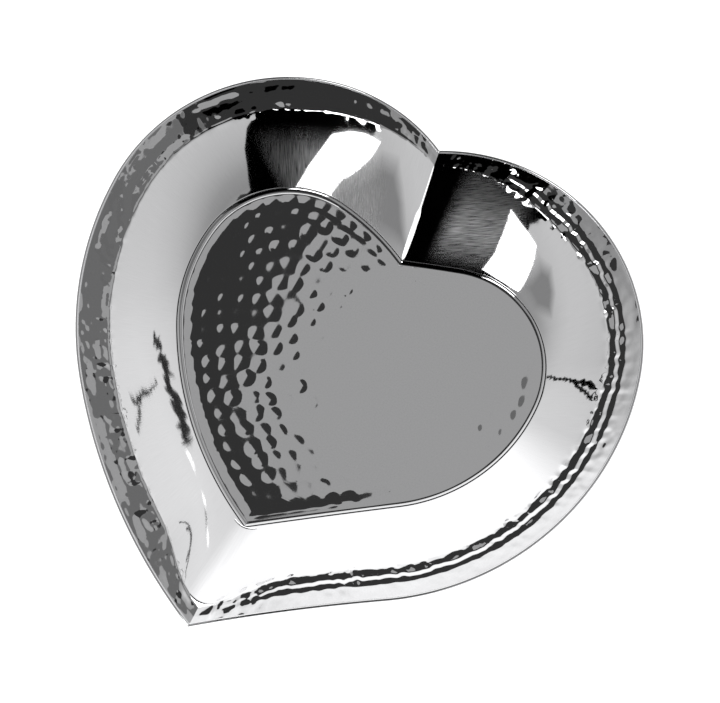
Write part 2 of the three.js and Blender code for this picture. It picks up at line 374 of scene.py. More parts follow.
def wall_grid(crease, crest, rise, hollow):
    """Top surface of one wall, with the distances along and across."""
    run = np.linalg.norm(crest - crease, axis=1)[:, None]
    body = np.linspace(0, 1, WALL_COLS)[None] * (run - LIP_WIDTH)
    lip = run - LIP_WIDTH * np.linspace(1, 0, LIP_COLS + 1)[None, 1:]
    groove = np.array([0, GROOVE_WIDTH / 2, GROOVE_WIDTH])[None] + 0 * run
    across = np.concatenate([groove, body[:, 1:], lip], 1)
    t = across / run
    drop = lip_drop(rise, run, hollow)
    z = CREASE_Z + (rise + drop) * ((1 - hollow) * t + hollow * t * t)
    roll = np.clip(1 - (run - across) / LIP_WIDTH, 0, 1)
    z -= drop * roll ** 2
    z -= GROOVE_DEPTH * np.clip(1 - across / GROOVE_WIDTH, 0, 1) ** 1.5
    return t, across, run, z


def lip_drop(rise, run, hollow):
    """How far rounding lowers the crest, so that it ends at the flange's first slope."""
    return (rise * (1 + hollow) / run - FLANGE_START) * LIP_WIDTH / 2


def flange_climb(name, share):
    """Height of the flange above the crest at shares of the way to the edge, per unit width."""
    fine = np.linspace(0, 1, 401)
    kernel = np.hanning(19)
    kernel /= kernel.sum()

    def climb(key):
        steep = np.interp(fine, *zip(*FLANGE_SLOPES[key]))
        steep = np.convolve(np.pad(steep, 9, mode="edge"), kernel, mode="valid")
        steps = (steep[1:] + steep[:-1]) / 2 * np.diff(fine)
        return np.interp(share, fine, np.concatenate([[0], np.cumsum(steps)]))

    return blend(name, {key: climb(key) for key in FLANGE_SLOPES}, share.shape[0])


def rim_marks(length, mark, seed):
    """One row of hammer marks along a half, by distance from the cleft."""
    place, half_length, half_width, depth = mark
    rng = np.random.default_rng(seed)
    marks = []
    u = RIM_MARK_PITCH * rng.uniform(0.3, 0.7)
    while u < length:
        size = rng.uniform(0.85, 1.15)
        marks.append((
            u,
            place + rng.uniform(-0.35, 0.35),
            half_length * size,
            half_width * rng.uniform(0.9, 1.1),
            depth * rng.uniform(0.7, 1.2),
        ))
        u += RIM_MARK_PITCH * rng.uniform(0.85, 1.15)
    return marks


def make_half(name, edge, crest, crease, seed):
    """Wall and flange of one half, hammered as one surface and split at the crest."""
    length = np.sum(np.linalg.norm(np.diff(crest, axis=0), axis=1))
    along = np.linspace(0, length, STATIONS + 1)[:, None]

    flange = edge - crest
    width = np.linalg.norm(flange, axis=1)[:, None]
    reach = 1 - BEAD_RADIUS / width
    share = np.linspace(0, 1, RIM_COLS)[None] * reach
    climb = flange_climb(name, share) * width
    rise = EDGE_Z - BEAD_RADIUS - climb[:, -1:] - CREASE_Z
    w_rim = share * width
    u_rim = along + 0 * w_rim
    z_rim = CREASE_Z + rise + climb

    hollow = np.interp(np.linspace(0, 1, STATIONS + 1), *zip(*WALL_HOLLOW[name]))[:, None]
    t, across, run, z = wall_grid(crease, crest, rise, hollow)
    u_wall = along + 0 * across
    w_wall = across - run

    u = np.concatenate([u_wall, u_rim], 1)
    w = np.concatenate([w_wall, w_rim], 1)
    height = np.concatenate([z, z_rim], 1)
    ends = smooth(np.minimum(u, length - u) / 6)
    scallop = np.abs(np.sin(math.pi * u / RIM_MARK_PITCH + 3 * wander(u, 0 * w, 13, 1, seed + 6))) - 0.6
    jag = scallop * (0.6 + 0.4 * wander(u, 0 * w, 9, 1, seed + 8)) + 0.9 * wander(u, w, 2.1, 3, seed + 7)
    wall_reach, flange_reach = CREST_JAG_REACH
    hold = np.where(w < 0, np.exp(-(w / wall_reach) ** 2), np.exp(-(w / flange_reach) ** 2))
    hold *= smooth((width - w) / 2)
    pushed = w + CREST_JAG[name] * jag * ends * hold
    height = np.array([np.interp(a, b, c) for a, b, c in zip(pushed, w, height)])
    marks = rim_marks(length, CREST_MARK, seed) + rim_marks(length, GUTTER_MARK, seed + 1)
    bump = press(np.zeros_like(height), u, w, marks)
    rimward = smooth((w + 0.8) / 1.4)
    bump *= smooth((w + 1.6) / 1.6)
    bump += uneven(u, w, (RIM_WAVES[name], *FLANGE_WAVE_SIZE), seed + 2) * rimward
    bump += uneven(u, w, FLANGE_GRAIN, seed + 3) * rimward
    bump += uneven(u, w, WALL_SWELL, seed + 4) * (1 - rimward)
    bump += uneven(u, w, WALL_RIPPLE, seed + 5) * (1 - rimward)
    anchored = smooth((w + run) / 3) * smooth((width - w) / 1.5)
    height = height + bump * ends * anchored

    cols = across.shape[1]
    plan_wall = crease[:, None] + (crest - crease)[:, None] * t[..., None]
    plan_rim = crest[:, None] + flange[:, None] * share[..., None]
    wall_top = np.concatenate([plan_wall, height[:, :cols, None]], 2)
    rim_top = np.concatenate([plan_rim, height[:, cols:, None]], 2)
    rim_top[:, 0] = wall_top[:, -1]

    # Painted shade in the crease at the foot of the wall: strongest at the groove, gone at 1.4 groove
    # widths.
    groove = np.clip(1.4 - across / GROOVE_WIDTH, 0, 1)
    start, stop, low, high = BRUSHED[name]
    brushed = smooth(np.minimum(u_wall - start, stop - u_wall) / 9)
    brushed = brushed * smooth(np.minimum(t - low, high - t) / 0.5)
    wall = band(f"wall_{name}_shaped", wall_top, thickened(wall_top, UNDER_COLS, SHEET),
                u_wall, across, groove, brushed, math.radians(BRUSH_HEADING[name]))
    rim = band(f"rim_{name}_shaped", rim_top, thickened(rim_top, UNDER_COLS, SHEET),
               u_rim, w_rim)
    return wall, rim, wall_top


def make_floor(left, right):
    """Floor plate: hammered flat heart with a hollow ring climbing to the crease."""
    # Ring points are (distance, height, painted shade); the painted shade darkens the crease at the
    # floor's rim.
    ring = [(0.0, CREASE_Z - GROOVE_DEPTH, 1.0), (GROOVE_WIDTH / 2, CREASE_Z - 0.35 * GROOVE_DEPTH, 0.8)]
    for k in range(RING_STEPS + 1):
        share = k / RING_STEPS
        d = GROOVE_WIDTH + (FLOOR_RING - GROOVE_WIDTH) * share
        ring.append((d, FLOOR_TOP + (CREASE_Z - FLOOR_TOP) * (1 - share) ** 1.7, 0.0))
    loop = whole_loop(left, right)
    n = len(left) - 1

    def halves(distance):
        moved = inset_loop(loop, distance)
        return moved[:n + 1], np.concatenate([moved[:1], moved[n:][::-1]])

    flat = halves(FLOOR_RING)
    middle = flat[0][0] + (flat[0][-1] - flat[0][0]) * np.linspace(0, 1, n + 1)[:, None]
    inner = np.linspace(0, 1, FLOOR_COLS + 1)[1:]

    def layer(side, places, tops):
        """Grid from the crease to the middle line: ring columns and then inner columns."""
        cols = [np.concatenate([halves(d)[side], np.full((n + 1, 1), z)], 1) for d, z in places]
        level = np.full((n + 1, 1), places[-1][1])
        cols += [
            np.concatenate([flat[side] + (middle - flat[side]) * t, level], 1)
            for t in tops
        ]
        return np.stack(cols, 1)

    places = [(d, z) for d, z, _ in ring]
    top = np.concatenate([layer(0, places, inner), layer(1, places, inner)[:, -2::-1]], 1)
    edge_shade = [g for _, _, g in ring] + [0.0] * FLOOR_COLS
    shade = np.array(edge_shade + edge_shade[-2::-1])
    u, v = top[..., 0], top[..., 1]
    gap = np.concatenate([np.zeros(len(ring)), np.ones(FLOOR_COLS)])
    away = np.minimum(distance_to(u, v, flat[0]), distance_to(u, v, flat[1]))
    reach = smooth(away / 2.5) * np.concatenate([gap, gap[-2::-1]])
    bump = press(np.zeros_like(u), u, v, floor_marks(loop))
    bump += uneven(u, v, FLOOR_SWELL, 71) + uneven(u, v, FLOOR_GRAIN, 72)
    top[..., 2] += bump * reach
    rising = smooth(1 - away / FLOOR_DISH_WIDTH) * (reach > 0)
    top[..., 2] += FLOOR_DISH_RISE * rising * near_cleft(u, v)
    sinking = smooth(1 - distance_to(u, v, flat[1]) / FLOOR_DIP_WIDTH)
    dip = FLOOR_DIP * sinking * near_lower_right(u, v)
    top[..., 2] -= dip * smooth(away / 1.8) * (reach > 0)
    low = [(0.0, CREASE_Z - SHEET), (FLOOR_RING, FLOOR_TOP - SHEET)]
    steps = np.linspace(0, 1, 9)[1:]
    under = np.concatenate([layer(0, low, steps), layer(1, low, steps)[:, -2::-1]], 1)
    sections = np.concatenate([top, under[:, ::-1]], 1)
    rows, m = sections.shape[:2]
    points = sections.reshape(-1, 3)
    quads, _ = outward(points, ring_quads(rows, m, False), [])
    # The ring's painted shade goes into the groove attribute of the top surface.
    marks = np.zeros((rows, m))
    marks[:, :top.shape[1]] = shade
    obj = build_mesh("floor_plate_shaped", points, quads, (), points[:, :2], marks.ravel())
    merge_doubles(obj)
    return obj


def near_cleft(u, v):
    """Where the floor is dished up toward its rim: on the left and round the cleft."""
    left = smooth((10 - u) / 16)
    beside_tip = (u + 0.35 * (v + 58) + 4) / -6 + 1
    above_tip = smooth((v + 30) / 20)
    return left * smooth(beside_tip + above_tip * 9)


def near_lower_right(u, v):
    """Where the floor sinks toward its rim: beside the tip, on the right."""
    return smooth((34 - u) / 14) * smooth((-16 - v) / 12) * smooth((u + 6) / 5)


def distance_to(u, v, line):
    """Distance of grid points from a polyline, by its nearest vertex in a coarse search."""
    tree = KDTree(len(line))
    for i, p in enumerate(line):
        tree.insert((p[0], p[1], 0), i)
    tree.balance()
    flat = np.empty(u.size)
    for i, (x, y) in enumerate(zip(u.ravel(), v.ravel())):
        flat[i] = tree.find((x, y, 0))[2]
    return flat.reshape(u.shape)


def merge_doubles(obj):
    mesh = bmesh.new()
    mesh.from_mesh(obj.data)
    bmesh.ops.remove_doubles(mesh, verts=mesh.verts, dist=0.002 * MM)
    mesh.to_mesh(obj.data)
    mesh.free()
    soften_shading(obj.data)


def floor_marks(loop):
    """Hammer marks in rows that follow the heart's outline, toward its middle."""
    rng = np.random.default_rng(11)
    marks = []
    inset, deepest = FLOOR_MARK_INSETS
    while inset < deepest:
        ring = inset_loop(loop[::8], inset)
        ring = ring[np.min(np.linalg.norm(ring[:, None] - loop[None, ::4], axis=2), 1) > inset * 0.93]
        if len(ring) < 8:
            break
        closed = np.concatenate([ring, ring[:1]])
        count = max(int(np.sum(np.linalg.norm(np.diff(closed, axis=0), axis=1)) / FLOOR_MARK_PITCH), 3)
        for p in resample(closed, count)[:-1]:
            p = p + rng.normal(0, 0.45, 2)
            size = rng.uniform(0.8, 1.12)
            round_off = rng.uniform(0.88, 1.14)
            depth = FLOOR_MARK_DEPTH * size * size * rng.uniform(0.5, 1.2)
            marks.append((p[0], p[1], FLOOR_MARK_RADIUS * size * round_off,
                          FLOOR_MARK_RADIUS * size / round_off, depth * mark_strength(p)))
        inset += FLOOR_MARK_PITCH * 0.97
    return marks


def mark_strength(p):
    """The marks are deep on the left and in two patches on the right, and shallow elsewhere."""
    left = smooth((14 - p[0]) / 26)
    lower = smooth(1 - math.hypot(p[0] - 22, p[1] + 36) / 22)
    upper = smooth(1 - math.hypot(p[0] - 64, p[1] - 16) / 24)
    return 0.25 + 0.75 * left + 0.8 * lower * (1 - left) + 0.95 * upper


def make_bead(loop):
    """Rounded edge all the way round."""
    a = np.linspace(0, 2 * math.pi, BEAD_SIDES, endpoint=False)
    rings = [np.concatenate([inset_loop(loop, BEAD_INSET + BEAD_RADIUS * (1 - math.cos(k))),
                             np.full((len(loop), 1), EDGE_Z + BEAD_RADIUS * (math.sin(k) - 1))], 1)
             for k in a]
    sections = np.stack(rings, 1)
    points = sections.reshape(-1, 3)
    quads, _ = outward(points, ring_quads(len(loop), BEAD_SIDES, True), [])
    steps = np.linalg.norm(np.roll(loop, -1, 0) - loop, axis=1)
    uv = np.stack([np.repeat(np.cumsum(steps), BEAD_SIDES), np.tile(a * BEAD_RADIUS, len(loop))], 1)
    return build_mesh("edge_bead_shaped", points, quads, (), uv)


def make_cleft_seam(line):
    """Raised bead over the joint at the cleft: wide below, narrow above."""
    steps = np.linalg.norm(np.diff(line, axis=0), axis=1)
    along = np.concatenate([[0], np.cumsum(steps)])
    rows = SEAM_ROWS
    want = np.linspace(SEAM_INSET, along[-1] - SEAM_INSET, rows)
    middle = np.stack([np.interp(want, along, line[:, k]) for k in range(3)], 1)
    middle[:, 2] += SEAM_LIFT
    forward = unit(np.gradient(middle, axis=0))
    sideways = unit(np.cross(forward, (0, 0, 1)))
    upward = np.cross(sideways, forward)
    lean = math.radians(SEAM_LEAN)
    sideways, upward = (
        sideways * math.cos(lean) + upward * math.sin(lean),
        upward * math.cos(lean) - sideways * math.sin(lean),
    )
    share = np.linspace(0, 1, rows)
    taper = np.sqrt(np.clip(1 - (2 * share - 1) ** 8, 0.0004, 1))
    place, stretch = SEAM_CHANGE
    lower = smooth((place - share) / stretch + 0.5)
    wide = SEAM_WIDTH / 2 * (SEAM_NARROW + (1 - SEAM_NARROW) * lower)
    wide = wide * (1 + 0.08 * wander(want, 0 * want, 2.4, 1, 91))
    high = SEAM_CROWN * (0.5 + 0.5 * lower) * taper
    angles = np.linspace(0, 2 * math.pi, SEAM_SIDES, endpoint=False)
    rings = [
        middle
        + sideways * (wide * taper * math.cos(a))[:, None]
        + upward * (high * math.sin(a))[:, None]
        for a in angles
    ]
    sections = np.stack(rings, 1)
    points = sections.reshape(-1, 3)
    ends = [np.arange(SEAM_SIDES)[::-1], (rows - 1) * SEAM_SIDES + np.arange(SEAM_SIDES)]
    quads, ends = outward_local(points, ring_quads(rows, SEAM_SIDES, False), ends)
    uv = np.stack([np.repeat(want, SEAM_SIDES), np.tile(angles, rows)], 1)
    return build_mesh("cleft_seam_shaped", points, quads, ends, uv)


def make_tip_seam(left, right):
    """Smooth concave fillet laid in the valley where the walls meet at the tip."""
    cols = left.shape[1]
    pick = np.arange(FILLET_START, cols - 1)
    joint = left[-1, pick]
    a, b = left[-1 - FILLET_ROWS, pick], right[-1 - FILLET_ROWS, pick]
    w = np.linspace(0, 1, FILLET_COLS)[None, :, None]
    top = a[:, None] * (1 - w) ** 2 + joint[:, None] * 2 * w * (1 - w) + b[:, None] * w ** 2
    valley = np.where(w < 0.5, a[:, None] + (joint - a)[:, None] * 2 * w,
                      joint[:, None] + (b - joint)[:, None] * (2 * w - 1))
    top[..., 2] += FILLET_LIFT
    valley[..., 2] -= FILLET_DEPTH
    sections = np.concatenate([top, valley[:, ::-1]], 1)
    rows, n = sections.shape[:2]
    points = sections.reshape(-1, 3)
    ends = [np.arange(n)[::-1], (rows - 1) * n + np.arange(n)]
    quads, ends = outward_local(points, ring_quads(rows, n, False), ends)
    uv = np.zeros((rows, n, 2))
    uv[..., 0] = np.concatenate([w[0, :, 0], w[0, ::-1, 0]])[None] * 6
    uv[..., 1] = np.linspace(0, 25, rows)[:, None]
    return build_mesh("tip_seam_shaped", points, quads, ends, uv.reshape(-1, 2))


def outward_local(points, quads, polygons):
    """As outward, for a body away from the origin."""
    return outward(points - points.mean(0), quads, polygons)


def make_pad(name):
    """Domed rubber foot with a rounded edge and a shallow ring in its face."""
    low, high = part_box(name)
    centre = np.array([low[0] + high[0], low[1] + high[1]]) / 2 / MM
    radius = (high[0] - low[0]) / 2 / MM
    bottom, top = low[2] / MM, high[2] / MM
    turn = np.linspace(0, math.pi / 2, 9)
    face = ((0.12, 0.1), (0.3, 0.1), (0.36, 0.16), (0.42, 0.1), (0.5, 0.02))
    profile = [(radius * f, bottom + z) for f, z in face]
    profile += [
        (radius - PAD_EDGE + PAD_EDGE * math.sin(a), bottom + PAD_EDGE * (1 - math.cos(a)))
        for a in turn
    ]
    profile += [(radius, top - 0.25), (radius - 0.08, top - 0.08)]
    profile += [(radius - 0.25, top), (radius * 0.5, top)]
    sides = 72
    angles = np.linspace(0, 2 * math.pi, sides, endpoint=False)
    sections = np.stack([
        np.stack([centre[0] + r * np.cos(angles), centre[1] + r * np.sin(angles), z + 0 * angles], 1)
        for r, z in profile
    ])
    rows = len(profile)
    points = sections.reshape(-1, 3)
    ends = [np.arange(sides)[::-1], (rows - 1) * sides + np.arange(sides)]
    quads, ends = outward_local(points, ring_quads(rows, sides, False), ends)
    return build_mesh(f"{name}_shaped", points, quads, ends, points[:, :2])


# ---------- materials ----------
def clean_nodes(material):
    material.use_nodes = True
    nodes = material.node_tree.nodes
    nodes.clear()
    return nodes, material.node_tree.links


def metal(name, colour, roughness, streak, streak_strength, brushed=False, metallic=1):
    """Polished metal; streak is the texture scale along and across the outline."""
    material = bpy.data.materials.new(name)
    nodes, links = clean_nodes(material)
    out = nodes.new("ShaderNodeOutputMaterial")
    shader = nodes.new("ShaderNodeBsdfPrincipled")
    shader.inputs["Metallic"].default_value = metallic
    links.new(shader.outputs[0], out.inputs[0])

    place = nodes.new("ShaderNodeUVMap")
    place.uv_map = "work"
    stretch = nodes.new("ShaderNodeMapping")
    stretch.inputs["Scale"].default_value = (streak[0], streak[1], 1)
    links.new(place.outputs[0], stretch.inputs[0])
    fine = nodes.new("ShaderNodeTexNoise")
    fine.inputs["Scale"].default_value = 1
    fine.inputs["Detail"].default_value = 5
    links.new(stretch.outputs[0], fine.inputs[0])

    spot = nodes.new("ShaderNodeTexCoord")
    cloud = nodes.new("ShaderNodeTexNoise")
    cloud.inputs["Scale"].default_value = 60
    cloud.inputs["Detail"].default_value = 6
    links.new(spot.outputs["Object"], cloud.inputs[0])

    rough = nodes.new("ShaderNodeMapRange")
    rough.inputs["To Min"].default_value = roughness[0]
    rough.inputs["To Max"].default_value = roughness[1]
    links.new(cloud.outputs[0], rough.inputs[0])
    links.new(rough.outputs[0], shader.inputs["Roughness"])

    tint = nodes.new("ShaderNodeMapRange")
    tint.inputs["To Min"].default_value = 1.0
    tint.inputs["To Max"].default_value = 0.9
    links.new(fine.outputs[0], tint.inputs[0])
    # Painted shade: the groove attribute darkens the base colour toward black, down to 12 %, in the
    # crease between floor and wall.
    groove = nodes.new("ShaderNodeAttribute")
    groove.attribute_name = "groove"
    shade = nodes.new("ShaderNodeMapRange")
    shade.inputs["To Min"].default_value = 1.0
    shade.inputs["To Max"].default_value = 0.12
    links.new(groove.outputs["Fac"], shade.inputs[0])
    mix = nodes.new("ShaderNodeMath")
    mix.operation = "MULTIPLY"
    links.new(tint.outputs[0], mix.inputs[0])
    links.new(shade.outputs[0], mix.inputs[1])
    ramp = nodes.new("ShaderNodeMix")
    ramp.data_type = "RGBA"
    ramp.inputs["A"].default_value = (0, 0, 0, 1)
    ramp.inputs["B"].default_value = (*colour, 1)
    links.new(mix.outputs[0], ramp.inputs["Factor"])
    links.new(ramp.outputs["Result"], shader.inputs["Base Color"])

    bump = nodes.new("ShaderNodeBump")
    bump.inputs["Strength"].default_value = streak_strength
    bump.inputs["Distance"].default_value = 0.000008
    links.new(fine.outputs[0], bump.inputs["Height"])
    links.new(bump.outputs[0], shader.inputs["Normal"])
    if brushed:
        add_brushing(nodes, links, shader, out, colour)
    return material


def add_brushing(nodes, links, shader, out, colour):
    """Second, stretched highlight where the wall has been brushed."""
    place = nodes.new("ShaderNodeUVMap")
    place.uv_map = "grain"
    stretch = nodes.new("ShaderNodeMapping")
    stretch.inputs["Scale"].default_value = (3600, 170, 1)
    links.new(place.outputs[0], stretch.inputs[0])
    lines = nodes.new("ShaderNodeTexNoise")
    lines.inputs["Scale"].default_value = 1
    lines.inputs["Detail"].default_value = 4
    links.new(stretch.outputs[0], lines.inputs[0])
    level = nodes.new("ShaderNodeMapRange")
    level.inputs["From Min"].default_value = 0.35
    level.inputs["From Max"].default_value = 0.65
    level.inputs["To Min"].default_value = 0.2
    level.inputs["To Max"].default_value = 0.85
    links.new(lines.outputs[0], level.inputs[0])
    mask = nodes.new("ShaderNodeAttribute")
    mask.attribute_name = "brushed"
    amount = nodes.new("ShaderNodeMath")
    amount.operation = "MULTIPLY"
    links.new(level.outputs[0], amount.inputs[0])
    links.new(mask.outputs["Fac"], amount.inputs[1])
    grain = nodes.new("ShaderNodeTangent")
    grain.direction_type = "UV_MAP"
    grain.uv_map = "grain"
    gloss = nodes.new("ShaderNodeBsdfAnisotropic")
    gloss.inputs["Color"].default_value = (*colour, 1)
    gloss.inputs["Roughness"].default_value = 0.36
    gloss.inputs["Anisotropy"].default_value = 0.93
    links.new(grain.outputs[0], gloss.inputs["Tangent"])
    blend_in = nodes.new("ShaderNodeMixShader")
    links.new(amount.outputs[0], blend_in.inputs["Fac"])
    links.new(shader.outputs[0], blend_in.inputs[1])
    links.new(gloss.outputs[0], blend_in.inputs[2])
    links.new(blend_in.outputs[0], out.inputs[0])


def rubber(name):
    material = bpy.data.materials.new(name)
    nodes, links = clean_nodes(material)
    out = nodes.new("ShaderNodeOutputMaterial")
    shader = nodes.new("ShaderNodeBsdfPrincipled")
    links.new(shader.outputs[0], out.inputs[0])
    spot = nodes.new("ShaderNodeTexCoord")
    grain = nodes.new("ShaderNodeTexNoise")
    grain.inputs["Scale"].default_value = 2500
    grain.inputs["Detail"].default_value = 5
    links.new(spot.outputs["Object"], grain.inputs[0])
    rough = nodes.new("ShaderNodeMapRange")
    rough.inputs["To Min"].default_value = 0.5
    rough.inputs["To Max"].default_value = 0.8
    links.new(grain.outputs[0], rough.inputs[0])
    links.new(rough.outputs[0], shader.inputs["Roughness"])
    tint = nodes.new("ShaderNodeMix")
    tint.data_type = "RGBA"
    tint.inputs["A"].default_value = (0.022, 0.022, 0.023, 1)
    tint.inputs["B"].default_value = (0.06, 0.06, 0.062, 1)
    links.new(grain.outputs[0], tint.inputs["Factor"])
    links.new(tint.outputs["Result"], shader.inputs["Base Color"])
    bump = nodes.new("ShaderNodeBump")
    bump.inputs["Strength"].default_value = 0.4
    bump.inputs["Distance"].default_value = 0.00004
    links.new(grain.outputs[0], bump.inputs["Height"])
    links.new(bump.outputs[0], shader.inputs["Normal"])
    return material


def use(obj, material):
    obj.data.materials.clear()
    obj.data.materials.append(material)
    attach(obj, "root")


# ---------- camera ----------
# The camera looks down at the dish from a steep angle and is rolled so that
# the heart lies turned in the picture.
HEART_TURN = math.radians(26.54)
CAMERA_TURN = math.radians(12)
CAMERA_TILT = math.radians(16)
CAMERA_DISTANCE = 0.5632
CAMERA_TARGET = Vector((0.00453, 0.01486, 0.0033))
LENS = 80


def make_camera():
    swing = HEART_TURN + CAMERA_TURN
    right = Vector((math.cos(swing), math.sin(swing), 0))
    back = Vector((
        math.sin(CAMERA_TILT) * math.sin(swing),
        -math.sin(CAMERA_TILT) * math.cos(swing),
        math.cos(CAMERA_TILT),
    ))
    up = back.cross(right)
    roll = CAMERA_TURN
    image_up = math.sin(roll) * right + math.cos(roll) * up
    image_right = math.cos(roll) * right - math.sin(roll) * up
    data = bpy.data.cameras.new("camera")
    data.lens = LENS
    data.sensor_width = 36
    data.clip_end = 20
    camera = bpy.data.objects.new("camera", data)
    bpy.context.scene.collection.objects.link(camera)
    turn = Matrix((image_right, image_up, back)).transposed().to_4x4()
    camera.matrix_world = Matrix.Translation(CAMERA_TARGET + CAMERA_DISTANCE * back) @ turn
    bpy.context.scene.camera = camera


# ---------- making ----------
make_camera()
lines = {name: half_lines(name, side) for name, side in SIDES}
polished = metal("polished", (0.86, 0.86, 0.87), (0.02, 0.05), (3000, 160), 0.1)
hammered = metal("hammered", (0.84, 0.84, 0.85), (0.02, 0.05), (1500, 1500), 0.08)
brazed = metal("brazed", (0.9, 0.9, 0.9), (0.2, 0.34), (1500, 900), 0.5, metallic=0.25)
brushed = metal("brushed", (0.86, 0.86, 0.87), (0.02, 0.05), (3000, 160), 0.1, brushed=True)

tops = {}
for k, (name, _) in enumerate(SIDES):
    wall, rim, tops[name] = make_half(name, *lines[name], seed=31 + 20 * k)
    use(wall, brushed)
    use(rim, hammered)
    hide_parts(f"wall_{name}")
    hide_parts(f"rim_{name}")

floor_plate = make_floor(*(resample(lines[name][2], FLOOR_STATIONS) for name, _ in SIDES))
use(floor_plate, hammered)
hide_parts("floor_plate")

cleft_seam = make_cleft_seam(tops["left"][0])
use(cleft_seam, brazed)
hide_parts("cleft_seam")
tip_seam = make_tip_seam(tops["left"], tops["right"])
use(tip_seam, polished)
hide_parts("tip_seam")

pad_rubber = rubber("pad_rubber_fine")
for k in (1, 2, 3, 4):
    pad = make_pad(f"foot_pad_{k}")
    use(pad, pad_rubber)
    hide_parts(f"foot_pad_{k}")

edge_loop = whole_loop(*(lines[name][0] for name, _ in SIDES))
bead = make_bead(edge_loop)
use(bead, polished)
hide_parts("edge_bead")

# ---------- studio ----------
# Studio places are (right, away, up) in millimetres as the camera sees them, from
# the dish's middle: a light tent with a brighter back, a small softbox standing
# before a dark opening, and dark and grey patches in the ceiling.
TENT_RADIUS = 1150
TENT_REACH = 115               # degrees from straight up to the tent's lower rim
TENT_GRID = (72, 144)
# Glow of the tent's sides and back, by angle from straight up.
SIDE_GLOW = ((0, 0.39), (18, 0.39), (24, 0.3), (30, 0.35), (36, 0.46), (42, 0.55), (48, 0.61),
             (54, 0.65), (62, 0.65), (72, 0.62), (84, 0.55), (100, 0.5), (180, 0.5))
BACK_GLOW = ((0, 0.39), (20, 0.39), (28, 0.4), (35, 0.5), (41, 0.9), (46, 1.05), (54, 1.15),
             (62, 1.3), (80, 1.3), (92, 1.1), (180, 1.0))
# Share of the back's glow at headings from studio right.
BACK_SHARE = ((0, 0.03), (15, 0.12), (28, 0.28), (45, 0.4), (56, 0.6), (75, 1), (124, 1),
              (134, 0.22), (144, 0.14), (154, 0), (345, 0), (360, 0.03))
OPENING_CENTRE = (-261, -206, 515)
OPENING_FACING = (0.427, 0.337, -0.84)
TABLE_REACH = 6000             # from the middle to each side
TABLE_GLOW = 0.42
TOP_LIGHT = (-40, 60, 940)
TOP_LIGHT_WIDTH = 900
TOP_LIGHT_WATTS = 16
CEILING = 1000
CEILING_FAR = 800              # a lower height, still inside the tent's dome
CARD_GAP = 4                   # step between cards that overlap
STREAK_DISTANCE = 700
# Brightness of the cards.
BLACK = 0.0
DARK_BAR = 0.03
DARK_CEILING = 0.037
SPOT = 0.16
GREY_CEILING = 0.17
GREY_PATCH = 0.26
SPARKLE = 2.0
SOFTBOX = 4.0


def to_world(places):
    """Studio millimetres to world metres."""
    c, s = math.cos(HEART_TURN), math.sin(HEART_TURN)
    p = np.asarray(places, dtype=float) * MM
    return np.stack([c * p[:, 0] - s * p[:, 1], s * p[:, 0] + c * p[:, 1], p[:, 2]], 1)


def glow_material(name, strength=None):
    """Emission of one strength, or of the mesh's own glow attribute."""
    material = bpy.data.materials.new(name)
    nodes, links = clean_nodes(material)
    out = nodes.new("ShaderNodeOutputMaterial")
    light = nodes.new("ShaderNodeEmission")
    links.new(light.outputs[0], out.inputs[0])
    if strength is None:
        glow = nodes.new("ShaderNodeAttribute")
        glow.attribute_name = "glow"
        links.new(glow.outputs["Fac"], light.inputs["Strength"])
    else:
        light.inputs["Strength"].default_value = strength
    return material


def stage_mesh(name, points, faces, material):
    mesh = bpy.data.meshes.new(name)
    mesh.from_pydata([tuple(p) for p in to_world(points)], [], faces)
    mesh.update()
    mesh.materials.append(material)
    obj = bpy.data.objects.new(name, mesh)
    bpy.context.scene.collection.objects.link(obj)
    return obj


def card(name, corners, strength):
    """Flat studio card, seen only in reflections."""
    obj = stage_mesh(name, corners, [tuple(range(len(corners)))], glow_material(name, strength))
    obj.visible_camera = False
    obj.visible_shadow = False


def soft_card(name, corners, strength, fade):
    """Studio card that melts into its surroundings over the outer share of its width."""
    corners = np.array(corners, dtype=float)
    n = len(corners)
    rings = [corners + (corners.mean(0) - corners) * share for share in (0, fade / 2, fade, 0.98)]
    faces = [
        (k * n + i, k * n + (i + 1) % n, (k + 1) * n + (i + 1) % n, (k + 1) * n + i)
        for k in range(3) for i in range(n)
    ]
    faces.append(tuple(3 * n + i for i in range(n)))
    material = glow_material(name, strength)
    nodes, links = material.node_tree.nodes, material.node_tree.links
    out = next(node for node in nodes if node.type == "OUTPUT_MATERIAL")
    light = next(node for node in nodes if node.type == "EMISSION")
    cover = nodes.new("ShaderNodeAttribute")
    cover.attribute_name = "cover"
    clear = nodes.new("ShaderNodeBsdfTransparent")
    melt = nodes.new("ShaderNodeMixShader")
    links.new(cover.outputs["Fac"], melt.inputs["Fac"])
    links.new(clear.outputs[0], melt.inputs[1])
    links.new(light.outputs[0], melt.inputs[2])
    links.new(melt.outputs[0], out.inputs[0])
    obj = stage_mesh(name, np.concatenate(rings), faces, material)
    attribute = obj.data.attributes.new("cover", "FLOAT", "POINT")
    attribute.data.foreach_set("value", np.repeat([0.0, 0.5, 1.0, 1.0], n).astype(np.float32))
    obj.visible_camera = False
    obj.visible_shadow = False


def on_opening(corners, nearer=0):
    """Corners given across and up the plane of the tent's opening."""
    n = unit(np.array(OPENING_FACING))
    across = unit(np.array([n[1], -n[0], 0]))
    up = np.cross(across, n)
    up *= np.sign(up[2])
    centre = np.array(OPENING_CENTRE) + nearer * n
    return [centre + h * across + w * up for h, w in corners]


